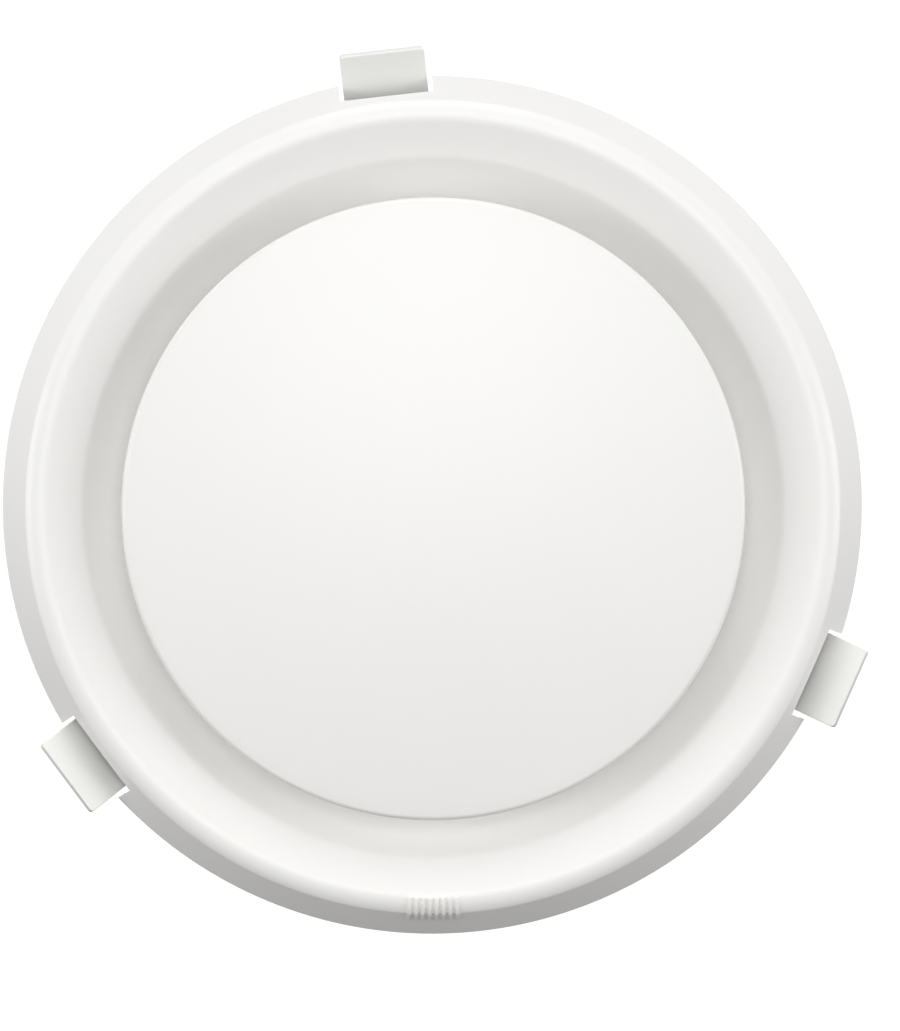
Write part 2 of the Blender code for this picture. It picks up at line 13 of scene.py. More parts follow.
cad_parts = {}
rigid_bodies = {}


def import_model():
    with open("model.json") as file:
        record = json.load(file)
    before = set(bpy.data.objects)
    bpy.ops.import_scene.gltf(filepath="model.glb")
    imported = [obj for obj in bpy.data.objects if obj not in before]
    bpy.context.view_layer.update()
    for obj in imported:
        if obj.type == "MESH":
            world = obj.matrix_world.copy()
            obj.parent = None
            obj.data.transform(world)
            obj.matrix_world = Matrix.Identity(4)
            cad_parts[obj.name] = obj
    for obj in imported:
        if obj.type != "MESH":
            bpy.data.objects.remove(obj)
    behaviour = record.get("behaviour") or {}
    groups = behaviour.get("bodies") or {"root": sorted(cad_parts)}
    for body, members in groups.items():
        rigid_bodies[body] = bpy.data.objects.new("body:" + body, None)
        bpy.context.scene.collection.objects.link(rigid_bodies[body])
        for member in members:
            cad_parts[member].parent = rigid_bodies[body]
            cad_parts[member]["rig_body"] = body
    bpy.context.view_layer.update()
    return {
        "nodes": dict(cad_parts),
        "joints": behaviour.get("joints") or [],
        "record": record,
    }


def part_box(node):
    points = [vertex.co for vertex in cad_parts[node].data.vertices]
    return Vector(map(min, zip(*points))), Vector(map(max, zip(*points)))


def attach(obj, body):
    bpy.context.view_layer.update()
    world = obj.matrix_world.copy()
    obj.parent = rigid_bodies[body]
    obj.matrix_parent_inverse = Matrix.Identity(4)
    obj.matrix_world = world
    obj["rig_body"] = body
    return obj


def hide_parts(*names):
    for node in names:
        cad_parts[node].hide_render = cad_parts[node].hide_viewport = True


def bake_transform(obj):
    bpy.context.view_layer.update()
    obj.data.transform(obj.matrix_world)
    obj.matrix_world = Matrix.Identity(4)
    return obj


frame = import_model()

NODES = frame["nodes"]
JOINTS = {joint["name"]: joint for joint in frame["joints"]}
SLOTS = {row["node"]: row["material_slot"] for row in frame["record"]["subparts"]}

# ---------------------------------------------------------------- sizes of the pieces
FINE = 240  # facets round the large turned pieces

SHELL = 0.0022
RIM_TILT = 51.0
CORNER_TILT = 35.0
SLOPE_TILT = -20.0
CONE_TILT = -38.0
NECK_TILT = -90.0
WALL_RUN = 0.0127
CORNER_ROUND = 0.0026
CREST_ROUND = 0.0082
SLOPE_RUN = 0.01085
THROAT_ROUND = 0.0080
CONE_RUN = 0.0154
NECK_ROUND = 0.0050

RIB_COUNT = 8
RIB_WIDTH = 0.0011
RIB_PITCH = 0.0023
RIB_HEIGHT = 0.00060
RIB_OVERHANG = 0.0025  # how far a rib runs past the corner, onto the wall
RIB_FOOT_TILT = -6.0
RIB_CIRCLE = 0.1355

NOTCH_MIDDLE = 0.1489
NOTCH_SIZE = (0.020, 0.0315, 0.024)

GASKET_INNER = 0.1300
SPIGOT_WALL = 0.0018
BLADE_THICKNESS = 0.0024
BLADE_WIDTH = 0.0285
KNUCKLE_RADIUS = 0.0034
SPRING_BAY = 0.0085
CHEEK_GAP = 0.0147
SHEET = 0.0015
GAP = 0.0003

DISC_SHELL = 0.0022
DISC_EDGE_ROUND = 0.0019
DISC_EDGE_TILT = 7.6
DISC_SKIRT_RUN = 0.0050

THREAD_PITCH = 0.0040
THREAD_DEPTH = 0.0009

CLIP_NUMBERS = (1, 2, 3)
HINGE_POINTS = [Vector(JOINTS[f"clip_{number}_fold"]["pos_m"]) for number in CLIP_NUMBERS]
CLIP_ANGLES = [math.degrees(math.atan2(point.y, point.x)) for point in HINGE_POINTS]
ARM_ANGLES = [angle + 60.0 for angle in CLIP_ANGLES]
HINGE_RADIUS = HINGE_POINTS[0].xy.length
HINGE_HEIGHT = HINGE_POINTS[0].z


# ---------------------------------------------------------------- outlines
def walk(start, tilt, steps):
    """Points and facing tilts along a moulded face, from its outer edge inwards.

    A tilt is the angle of the face from straight down, positive outwards. A run goes straight, and
    a turn rolls over a radius to a new tilt.
    """
    r, z = start
    points = [(r, z, tilt)]
    for kind, size, *rest in steps:
        if kind == "run":
            r -= size * math.cos(math.radians(tilt))
            z -= size * math.sin(math.radians(tilt))
            points.append((r, z, tilt))
            continue
        new_tilt, pieces = rest
        centre_r = r - size * math.sin(math.radians(tilt))
        centre_z = z + size * math.cos(math.radians(tilt))
        for n in range(1, pieces + 1):
            angle = math.radians(tilt + (new_tilt - tilt) * n / pieces)
            r = centre_r + size * math.sin(angle)
            z = centre_z - size * math.cos(angle)
            points.append((r, z, math.degrees(angle)))
        tilt = new_tilt
    return points


def behind(points, thickness):
    """The same face moved along its normals, into the wall."""
    moved = []
    for r, z, tilt in points:
        angle = math.radians(tilt)
        moved.append((r - thickness * math.sin(angle), z + thickness * math.cos(angle)))
    return moved


def rounded(corners, pieces=5, closed=False):
    """An outline from corners (across, height, radius), each rounded to its own radius."""
    outline = []
    last = len(corners) - 1
    for n, (across, height, radius) in enumerate(corners):
        here = Vector((across, height))
        if radius == 0.0 or (not closed and n in (0, last)):
            outline.append(tuple(here))
            continue
        coming = (here - Vector(corners[n - 1][:2])).normalized()
        going = (Vector(corners[(n + 1) % len(corners)][:2]) - here).normalized()
        cross = coming.x * going.y - coming.y * going.x
        side = Vector((-coming.y, coming.x)) * math.copysign(1.0, cross)
        turn = coming.angle(going)
        start = here - coming * radius * math.tan(turn / 2)
        for k in range(pieces + 1):
            angle = turn * k / pieces
            step = coming * math.sin(angle) + side * (1 - math.cos(angle))
            outline.append(tuple(start + step * radius))
    return outline


# ---------------------------------------------------------------- shapes
def new_mesh(name, shape):
    mesh = bpy.data.meshes.new(name)
    shape.to_mesh(mesh)
    shape.free()
    return mesh


def turned(name, outline, count=FINE, closed=False, radius_at=None):
    """A turned skin from an outline that runs down its outer side; radius_at may thread it."""
    shape = bmesh.new()
    rings = []
    for r, z in outline:
        if r < 1e-6:
            rings.append([shape.verts.new((0.0, 0.0, z))])
            continue
        ring = []
        for n in range(count):
            angle = 2 * math.pi * n / count
            reach = radius_at(r, z, angle) if radius_at else r
            ring.append(shape.verts.new((reach * math.cos(angle), reach * math.sin(angle), z)))
        rings.append(ring)
    pairs = list(zip(rings, rings[1:]))
    if closed:
        pairs.append((rings[-1], rings[0]))
    for upper, lower in pairs:
        for n in range(count):
            m = (n + 1) % count
            if len(upper) == 1:
                shape.faces.new((upper[0], lower[n], lower[m]))
            elif len(lower) == 1:
                shape.faces.new((upper[n], lower[0], upper[m]))
            else:
                shape.faces.new((upper[n], lower[n], lower[m], upper[m]))
    return new_mesh(name, shape)


def prism(name, outline, low, high, round_off=0.0):
    """A flat outline in X and Z made solid between two Y values, its long edges eased."""
    shape = bmesh.new()
    near = [shape.verts.new((x, low, z)) for x, z in outline]
    far = [shape.verts.new((x, high, z)) for x, z in outline]
    shape.faces.new(near)
    shape.faces.new(list(reversed(far)))
    for n in range(len(outline)):
        m = (n + 1) % len(outline)
        shape.faces.new((near[m], near[n], far[n], far[m]))
    bmesh.ops.recalc_face_normals(shape, faces=shape.faces)
    if round_off:
        rims = [edge for edge in shape.edges if abs(edge.verts[0].co.y - edge.verts[1].co.y) < 1e-7]
        bmesh.ops.bevel(
            shape, geom=rims, offset=round_off, segments=3, profile=0.5,
            affect="EDGES", clamp_overlap=True,
        )
    return new_mesh(name, shape)


def block(name, centre, size, turn=0.0, round_off=0.0):
    """A box turned about Z, with eased edges."""
    shape = bmesh.new()
    place = Matrix.Rotation(math.radians(turn), 4, "Z") @ Matrix.Translation(centre)
    bmesh.ops.create_cube(shape, size=1.0, matrix=Matrix.Diagonal((*size, 1.0)))
    if round_off:
        bmesh.ops.bevel(
            shape, geom=shape.edges[:], offset=round_off, segments=3, profile=0.5, affect="EDGES",
        )
    shape.transform(place)
    return new_mesh(name, shape)


def rod(name, start, end, radius, turn=0.0, sides=32):
    shape = bmesh.new()
    start, end = Vector(start), Vector(end)
    along = end - start
    place = Matrix.Rotation(math.radians(turn), 4, "Z") @ Matrix.Translation((start + end) / 2)
    place = place @ along.to_track_quat("Z", "Y").to_matrix().to_4x4()
    bmesh.ops.create_cone(
        shape, cap_ends=True, segments=sides, radius1=radius,
        radius2=radius, depth=along.length, matrix=place,
    )
    return new_mesh(name, shape)


def wire(name, points, radius, sides=10):
    """A round wire along its points, with closed ends."""
    shape = bmesh.new()
    points = [Vector(point) for point in points]
    normal = (points[1] - points[0]).orthogonal().normalized()
    rings = []
    for n, point in enumerate(points):
        along = (points[min(n + 1, len(points) - 1)] - points[max(n - 1, 0)]).normalized()
        normal = (normal - along * normal.dot(along)).normalized()
        across = along.cross(normal)
        ring = []
        for k in range(sides):
            angle = 2 * math.pi * k / sides
            offset = (normal * math.cos(angle) + across * math.sin(angle)) * radius
            ring.append(shape.verts.new(point + offset))
        rings.append(ring)
    for first, second in zip(rings, rings[1:]):
        for k in range(sides):
            m = (k + 1) % sides
            shape.faces.new((first[k], first[m], second[m], second[k]))
    shape.faces.new(list(reversed(rings[0])))
    shape.faces.new(rings[-1])
    return new_mesh(name, shape)


def shaped(mesh, *steps):
    """Join or cut meshes one after another, each step (operation, tool mesh)."""
    body = bpy.data.objects.new(mesh.name, mesh)
    helpers = [body]
    bpy.context.scene.collection.objects.link(body)
    for operation, tool in steps:
        helper = bpy.data.objects.new(tool.name, tool)
        bpy.context.scene.collection.objects.link(helper)
        helpers.append(helper)
        modifier = body.modifiers.new(tool.name, "BOOLEAN")
        modifier.operation = operation
        modifier.object = helper
        modifier.solver = "EXACT"
    bpy.context.view_layer.update()
    result = bpy.data.meshes.new_from_object(body.evaluated_get(bpy.context.evaluated_depsgraph_get()))
    for helper in helpers:
        bpy.data.objects.remove(helper, do_unlink=True)
    return result


def joined(name, meshes):
    """Several meshes as one, left as separate skins."""
    shape = bmesh.new()
    for mesh in meshes:
        shape.from_mesh(mesh)
    return new_mesh(name, shape)


def repeated(name, make, angles):
    """The same tool at several angles about the axis, as one mesh."""
    copies = []
    for angle in angles:
        copy = make()
        copy.transform(Matrix.Rotation(math.radians(angle), 4, "Z"))
        copies.append(copy)
    return joined(name, copies)


# ---------------------------------------------------------------- shader maths
class Wire:
    """One socket of a finish; arithmetic on it adds Math nodes."""

    def __init__(self, finish, socket):
        self.finish = finish
        self.socket = socket

    def maths(self, operation, *values):
        return self.finish.add("ShaderNodeMath", {"operation": operation}, dict(enumerate(values)))

    def __add__(self, other):
        return self.maths("ADD", self, other)

    def __sub__(self, other):
        return self.maths("SUBTRACT", self, other)

    def __rsub__(self, other):
        return self.maths("SUBTRACT", other, self)

    def __mul__(self, other):
        return self.maths("MULTIPLY", self, other)

    def __pow__(self, other):
        return self.maths("POWER", self, other)

    __radd__ = __add__
    __rmul__ = __mul__


class Finish:
    """A node-built material on a Principled shader."""

    def __init__(self, name, colour, roughness, metallic=0.0, **uniform):
        self.material = bpy.data.materials.new(name)
        self.material.use_nodes = True
        self.material.diffuse_color = (*colour, 1.0)
        self.nodes = self.material.node_tree.nodes
        self.links = self.material.node_tree.links
        self.shader = self.nodes["Principled BSDF"]
        self.colour = colour
        self.shader.inputs["Base Color"].default_value = (*colour, 1.0)
        self.shader.inputs["Roughness"].default_value = roughness
        self.shader.inputs["Metallic"].default_value = metallic
        for key, value in uniform.items():
            self.shader.inputs[key.replace("_", " ").title()].default_value = value
        self.place = self.add("ShaderNodeTexCoord", out="Object")

    def add(self, kind, settings=None, values=None, out=0):
        """Any node: its settings first, then the values or links of its sockets."""
        node = self.nodes.new(kind)
        for key, value in (settings or {}).items():
            if key == "stops":
                for stop, (position, shade) in zip(self.stops(node, len(value)), value):
                    stop.position = position
                    stop.color = (shade, shade, shade, 1.0)
            else:
                setattr(node, key, value)
        for key, value in (values or {}).items():
            if isinstance(value, Wire):
                self.links.new(value.socket, node.inputs[key])
            else:
                node.inputs[key].default_value = value
        return Wire(self, node.outputs[out])

    def stops(self, node, count):
        ramp = node.color_ramp
        while len(ramp.elements) < count:
            ramp.elements.new(0.5)
        return ramp.elements

    def noise(self, size, detail=2.0, place=None):
        """A soft random field whose features are about this size."""
        settings = {"Vector": place or self.place, "Scale": 1.0 / size, "Detail": detail}
        return self.add("ShaderNodeTexNoise", None, settings)

    def stretched(self, across, along):
        """The piece's own place, squeezed so that grain runs along Z."""
        scale = (1.0, 1.0, across / along)
        return self.add("ShaderNodeVectorMath", {"operation": "MULTIPLY"}, {0: self.place, 1: scale})

    def tint(self, amount, dark, light):
        """Base colour that wanders between two shades of the finish by an amount."""
        shades = [tuple(channel * shade for channel in self.colour) + (1.0,) for shade in (dark, light)]
        mix = self.nodes.new("ShaderNodeMix")
        mix.data_type = "RGBA"
        self.links.new(amount.socket, mix.inputs["Factor"])
        mix.inputs["A"].default_value, mix.inputs["B"].default_value = shades
        self.links.new(mix.outputs["Result"], self.shader.inputs["Base Color"])

    def rough(self, amount):
        self.links.new(amount.socket, self.shader.inputs["Roughness"])

    def grain(self, height, distance, strength=1.0):
        bump = self.add(
            "ShaderNodeBump", None,
            {"Height": height, "Distance": distance, "Strength": strength}, "Normal",
        )
        self.links.new(bump.socket, self.shader.inputs["Normal"])


def moulded(name, colour, roughness, grain_size, grain_depth, **uniform):
    """A moulded plastic: an even, very finely textured skin with slow changes of gloss."""
    finish = Finish(name, colour, roughness, **uniform)
    flow = finish.noise(0.035, 3.0)
    skin = finish.noise(grain_size, 2.0)
    finish.tint(flow * 0.7 + skin * 0.3, 0.985, 1.012)
    finish.rough(flow * 0.06 + skin * 0.05 + (roughness - 0.055))
    finish.grain(skin, grain_depth, 0.35)
    return finish.material


def plated(name, colour, roughness, **uniform):
    """Bright plated metal with fine drawn streaks."""
    finish = Finish(name, colour, roughness, 1.0, **uniform)
    streaks = finish.noise(0.00035, 3.0, finish.stretched(1.0, 8.0))
    cloud = finish.noise(0.004, 2.0)
    finish.tint(cloud, 0.88, 1.06)
    finish.rough(streaks * 0.16 + (roughness - 0.08))
    finish.grain(streaks, 0.00002, 0.4)
    return finish.material


def make_finishes():
    finishes = {
        "white_abs": moulded("white_abs_moulding", (0.905, 0.898, 0.880), 0.36, 0.0005, 0.00002),
        "natural_nylon": moulded(
            "natural_nylon_moulding", (0.900, 0.898, 0.872), 0.42, 0.0007, 0.00003,
        ),
        "grey_nylon": moulded("grey_nylon_moulding", (0.520, 0.530, 0.530), 0.52, 0.0006, 0.00004),
        "black_acetal": moulded("black_acetal_rod", (0.030, 0.030, 0.032), 0.34, 0.0006, 0.00002),
        "zinc_plate": plated("zinc_plated_screws", (0.660, 0.665, 0.660), 0.30),
        "spring_steel": plated("drawn_spring_steel", (0.460, 0.455, 0.450), 0.28),
    }

    spangle = Finish("galvanised_sheet", (0.620, 0.632, 0.640), 0.42, 1.0)
    crystals = spangle.add(
        "ShaderNodeTexVoronoi", {"feature": "F1"}, {"Vector": spangle.place, "Scale": 260.0}, "Color",
    )
    facet = spangle.add("ShaderNodeSeparateColor", None, {"Color": crystals}, "Red")
    cloud = spangle.noise(0.0012, 3.0)
    spangle.tint(facet * 0.8 + cloud * 0.2, 0.78, 1.08)
    spangle.rough(facet * 0.20 + cloud * 0.06 + 0.28)
    spangle.grain(cloud, 0.00002, 0.5)
    finishes["galvanised_sheet"] = spangle.material

    brass = Finish("turned_brass", (0.720, 0.550, 0.270), 0.30, 1.0)
    rings = brass.noise(0.0006, 2.0, brass.stretched(1.0, 0.1))
    brass.tint(brass.noise(0.006, 3.0), 0.86, 1.05)
    brass.rough(rings * 0.14 + 0.22)
    brass.grain(rings, 0.00002, 0.5)
    finishes["brass"] = brass.material

    foam = Finish("closed_cell_foam", (0.085, 0.085, 0.090), 0.92)
    cells = foam.add(
        "ShaderNodeTexVoronoi", {"feature": "F1"}, {"Vector": foam.place, "Scale": 1300.0}, "Distance",
    )
    # painted shade and light: the foam is drawn darker in the cell hollows and lighter on the cell rims, from
    # the same field that bumps them
    foam.tint(cells, 0.55, 1.7)
    foam.rough(cells * 0.20 + 0.78)
    foam.grain(cells, 0.0003, 0.9)
    finishes["gasket_foam"] = foam.material

    rubber = Finish("seal_rubber", (0.028, 0.028, 0.029), 0.62)
    bloom = rubber.noise(0.012, 4.0)
    rubber.tint(bloom, 0.75, 1.7)
    rubber.rough(bloom * 0.22 + 0.50)
    rubber.grain(rubber.noise(0.0004, 2.0), 0.00003, 0.5)
    finishes["seal_rubber"] = rubber.material
    return finishes


FINISHES = make_finishes()


# ---------------------------------------------------------------- putting pieces in place
def fitted(name, mesh, node, crease=32.0, ride=True):
    """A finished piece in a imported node's place, on the node's own body."""
    mesh.name = name
    mesh.materials.clear()
    mesh.materials.append(FINISHES[SLOTS[node]])
    mesh.shade_smooth()
    mesh.set_sharp_from_angle(angle=math.radians(crease))
    piece = bpy.data.objects.new(name, mesh)
    bpy.context.scene.collection.objects.link(piece)
    if ride:
        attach(piece, NODES[node]["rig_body"])
    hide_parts(node)
    return piece


def clip_frame(number):
    """From a clip's own frame (X outwards, Y along the pin, origin on the pin) to the model's."""
    turn = Matrix.Rotation(math.radians(CLIP_ANGLES[number - 1]), 4, "Z")
    return Matrix.Translation(HINGE_POINTS[number - 1]) @ turn


# ---------------------------------------------------------------- the face ring
RIM_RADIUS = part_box("face_ring")[1].x
NECK_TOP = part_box("face_ring")[1].z


def face_line():
    """The ring's visible face, from the ceiling in to the neck."""
    return walk(
        (RIM_RADIUS, 0.0), RIM_TILT,
        [
            ("run", WALL_RUN),
            ("turn", CORNER_ROUND, CORNER_TILT, 5),
            ("turn", CREST_ROUND, SLOPE_TILT, 14),
            ("run", SLOPE_RUN),
            ("turn", THROAT_ROUND, CONE_TILT, 8),
            ("run", CONE_RUN),
            ("turn", NECK_ROUND, NECK_TILT, 8),
        ],
    )


def crest_rib():
    """One short raised bar that follows the ring's crest, as a flat outline."""
    over_crest = walk(
        (RIM_RADIUS, 0.0), RIM_TILT,
        [
            ("run", WALL_RUN - RIB_OVERHANG),
            ("run", RIB_OVERHANG),
            ("turn", CORNER_ROUND, CORNER_TILT, 5),
            ("turn", CREST_ROUND, SLOPE_TILT, 28),
        ],
    )
    part = [point for point in over_crest[1:] if point[2] >= RIB_FOOT_TILT]
    return behind(part, -RIB_HEIGHT) + list(reversed(behind(part, RIB_HEIGHT)))


def make_face_ring():
    face = face_line()
    front = [(r, z) for r, z, tilt in face]
    back = behind(face, SHELL)
    back[0] = (RIM_RADIUS - SHELL / math.sin(math.radians(RIM_TILT)), 0.0)
    neck_bore = front[-1][0]
    front.append((neck_bore, NECK_TOP))
    back.append((neck_bore + SHELL, NECK_TOP))
    ring = turned("face_ring", front + list(reversed(back)), closed=True)

    seat_low, seat_high, seat_out = 0.0185, 0.0332, 0.1070
    depth = seat_out - neck_bore - SHELL / 2
    middle = (seat_out - depth / 2, 0.0, (seat_low + seat_high) / 2)
    seat = repeated(
        "clip_seats",
        lambda: block("clip_seat", middle, (depth, 2 * CHEEK_GAP, seat_high - seat_low), 0.0, 0.0006),
        CLIP_ANGLES,
    )
    notch = repeated(
        "rim_notches",
        lambda: block("rim_notch", (NOTCH_MIDDLE, 0.0, 0.0), NOTCH_SIZE),
        CLIP_ANGLES,
    )
    spread = math.degrees(RIB_PITCH / RIB_CIRCLE)
    angles = [90.0 + spread * (n - (RIB_COUNT - 1) / 2) for n in range(RIB_COUNT)]
    ribs = repeated(
        "index_ribs",
        lambda: prism("index_rib", crest_rib(), -RIB_WIDTH / 2, RIB_WIDTH / 2),
        angles,
    )
    holes = repeated(
        "neck_screw_holes",
        lambda: rod("hole", (neck_bore - 0.003, 0.0, 0.0270), (0.112, 0.0, 0.0270), 0.0021),
        ARM_ANGLES,
    )
    mesh = shaped(ring, ("UNION", seat), ("UNION", ribs), ("DIFFERENCE", notch), ("DIFFERENCE", holes))
    fitted("face_ring_moulding", mesh, "face_ring")
    return neck_bore


# ---------------------------------------------------------------- gasket, spigot and duct seal
def make_gasket():
    low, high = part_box("ceiling_gasket")
    outer, inner = high.x, GASKET_INNER
    soft = 0.0009
    outline = rounded(
        [(outer, high.z, soft), (outer, low.z, soft), (inner, low.z, soft), (inner, high.z, soft)],
        closed=True,
    )
    joint = block("gasket_joint", ((outer + inner) / 2, 0.0, 0.0), (0.012, 0.0004, 0.03), 8.0)
    mesh = shaped(turned("ceiling_gasket", outline, closed=True), ("DIFFERENCE", joint))
    fitted("ceiling_gasket_strip", mesh, "ceiling_gasket")


def make_spigot(neck_bore):
    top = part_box("duct_spigot")[1].z
    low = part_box("duct_spigot")[0].z
    radius = 0.0990
    bore = radius - SPIGOT_WALL
    skirt = neck_bore - GAP
    shoulder = NECK_TOP + GAP
    shoulder_out = neck_bore + SHELL
    outline = rounded(
        [
            (bore, top, 0.0005), (radius, top, 0.0008), (radius, 0.0590, 0.0008),
            (radius + 0.0009, 0.0575, 0.0010), (radius, 0.0560, 0.0008),
            (radius, shoulder + 0.0022, 0.0006), (shoulder_out, shoulder + 0.0022, 0.0008),
            (shoulder_out, shoulder, 0.0003), (skirt, shoulder, 0.0003), (skirt, low, 0.0005),
            (skirt - SPIGOT_WALL, low, 0.0005), (skirt - SPIGOT_WALL, shoulder, 0.0010),
            (bore, shoulder + 0.0030, 0.0010),
        ],
        closed=True,
    )
    holes = repeated(
        "spigot_screw_holes",
        lambda: rod("hole", (bore - 0.004, 0.0, 0.0270), (0.110, 0.0, 0.0270), 0.0021),
        ARM_ANGLES,
    )
    mesh = shaped(turned("duct_spigot", outline, closed=True), ("DIFFERENCE", holes))
    fitted("duct_spigot_moulding", mesh, "duct_spigot")


def make_duct_seal():
    low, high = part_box("duct_seal")
    inner, band, tip = high.x - 0.0030, high.x - 0.0018, high.x
    soft = 0.0003
    corners = [(band, high.z, soft)]
    for lip in (0.0500, 0.0450):
        corners += [(band, lip + 0.0024, soft), (tip, lip, soft), (band, lip + 0.0010, soft)]
    corners += [(band, low.z, soft), (inner, low.z, soft), (inner, high.z, soft)]
    mesh = turned("duct_seal", rounded(corners, 4, closed=True), closed=True)
    fitted("duct_lip_seal", mesh, "duct_seal")


# ---------------------------------------------------------------- screws
def cross_recess(width, depth, top):
    """A tapered cross-shaped driver recess, as a cutter."""
    arms = []
    for turn in (0.0, 90.0):
        arm = block("recess_arm", (0.0, 0.0, top), (width * 2, width * 0.36, depth * 2), turn)
        for vertex in arm.vertices:
            if vertex.co.z < top:
                vertex.co.x *= 0.45
                vertex.co.y *= 0.45
        arms.append(arm)
    return shaped(arms[0], ("UNION", arms[1]))


def screw_mesh(name, head, height, shank, length, pitch):
    """A pan-head tapping screw along Z, its seat at zero and its point down."""
    core = shank * 0.70
    head_line = rounded(
        [(0.0, height, 0.0), (head * 0.72, height * 0.95, head * 0.5), (head, height * 0.30, height * 0.25),
         (head, 0.0, height * 0.12), (core, 0.0, 0.0)],
    )
    steps = int(length / (pitch / 8))
    stem = [(core, -length * n / steps) for n in range(1, steps)]

    def thread(r, z, angle):
        if z >= -1e-9:
            return r
        turn = (z / pitch - angle / (2 * math.pi)) % 1.0
        crest = max(0.0, 1.0 - abs(turn - 0.5) * 5.0)
        taper = min(1.0, (length + z) / (shank * 1.6))
        return max(0.00005, (core + (shank - core) * crest) * taper ** 0.6)

    mesh = turned(name, head_line + stem + [(0.0, -length)], 32, radius_at=thread)
    return shaped(mesh, ("DIFFERENCE", cross_recess(head * 0.55, height * 0.75, height)))


def place_screws(mesh, rows):
    """One finished screw for each row (piece name, node, place)."""
    for name, node, place in rows:
        copy = mesh.copy()
        copy.transform(place)
        fitted(name, copy, node, 40.0)


def facing_out(angle, radius, height, side=0.0):
    """A place whose own +Z points away from the axis."""
    turn = Matrix.Rotation(math.radians(angle), 4, "Z")
    return turn @ Matrix.Translation((radius, side, height)) @ Matrix.Rotation(math.radians(90.0), 4, "Y")


def make_neck_screws():
    mesh = screw_mesh("neck_screw", 0.0034, 0.0022, 0.0015, 0.0140, 0.0011)
    place_screws(mesh, [
        (f"neck_screw_{n}_finished", f"neck_screw_{n}", facing_out(angle, 0.1050, 0.0270))
        for n, angle in enumerate(ARM_ANGLES, 1)
    ])


# ---------------------------------------------------------------- bridge and bush
def make_bridge():
    low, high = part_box("bridge_spider")
    hub, bore = 0.0115, 0.0080
    outline = rounded(
        [(bore, high.z, 0.0), (hub, high.z, 0.0008), (hub, low.z, 0.0008), (bore, low.z, 0.0)],
        closed=True,
    )
    arm_low, arm_high, foot_out = 0.0205, 0.0335, 0.0994
    middle = (arm_low + arm_high) / 2
    start, end = 0.0095, foot_out - 0.0015
    centre = ((start + end) / 2, 0.0, middle)
    arm = repeated(
        "bridge_arms",
        lambda: block("arm", centre, (end - start, 0.0032, arm_high - arm_low - 0.001), 0.0, 0.0004),
        ARM_ANGLES,
    )
    feet = repeated(
        "bridge_feet",
        lambda: block(
            "foot", (foot_out - 0.0015, 0.0, middle),
            (0.0030, 0.0160, arm_high - arm_low), 0.0, 0.0007,
        ),
        ARM_ANGLES,
    )
    pocket_size = (0.0330, 0.0012, 0.0070)
    pockets = joined("bridge_pockets", [
        block("pocket", (x, side * 0.0019, middle), pocket_size, angle, 0.0004)
        for angle in ARM_ANGLES for x in (0.0350, 0.0720) for side in (-1, 1)
    ])
    holes = repeated(
        "bridge_screw_holes",
        lambda: rod("hole", (0.0900, 0.0, 0.0270), (0.1050, 0.0, 0.0270), 0.0019),
        ARM_ANGLES,
    )
    mesh = shaped(
        turned("bridge_spider", outline, 96, closed=True),
        ("UNION", arm), ("UNION", feet), ("DIFFERENCE", pockets), ("DIFFERENCE", holes),
    )
    fitted("bridge_spider_moulding", mesh, "bridge_spider")


def thread_wave(z, angle):
    """0 in the root and 1 on the crest of the coarse right-handed thread."""
    turn = (z / THREAD_PITCH - angle / (2 * math.pi)) % 1.0
    return min(1.0, max(0.0, 2.2 - abs(turn - 0.5) * 7.0))


def make_bush():
    low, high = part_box("spindle_bush")
    flange = high.x
    body, bore = 0.0077, 0.0053
    steps = int((high.z - low.z) / (THREAD_PITCH / 16))
    inside = [(bore, low.z + (high.z - low.z) * n / steps) for n in range(steps + 1)]
    outside = rounded(
        [(bore, high.z, 0.0), (body - 0.0006, high.z, 0.0002), (body, high.z - 0.0006, 0.0002),
         (body, low.z + 0.0015, 0.0003), (flange, low.z + 0.0015, 0.0004), (flange, low.z, 0.0004),
         (bore, low.z, 0.0)],
    )

    def threaded_bore(r, z, angle):
        if r > bore + 1e-6 or z <= low.z + 1e-6 or z >= high.z - 1e-6:
            return r
        return bore - THREAD_DEPTH * (1.0 - thread_wave(z, angle)) * 0.9

    mesh = turned("spindle_bush", outside[:-1] + inside[:-1], 72, closed=True, radius_at=threaded_bore)
    fitted("threaded_bush", mesh, "spindle_bush", 30.0)


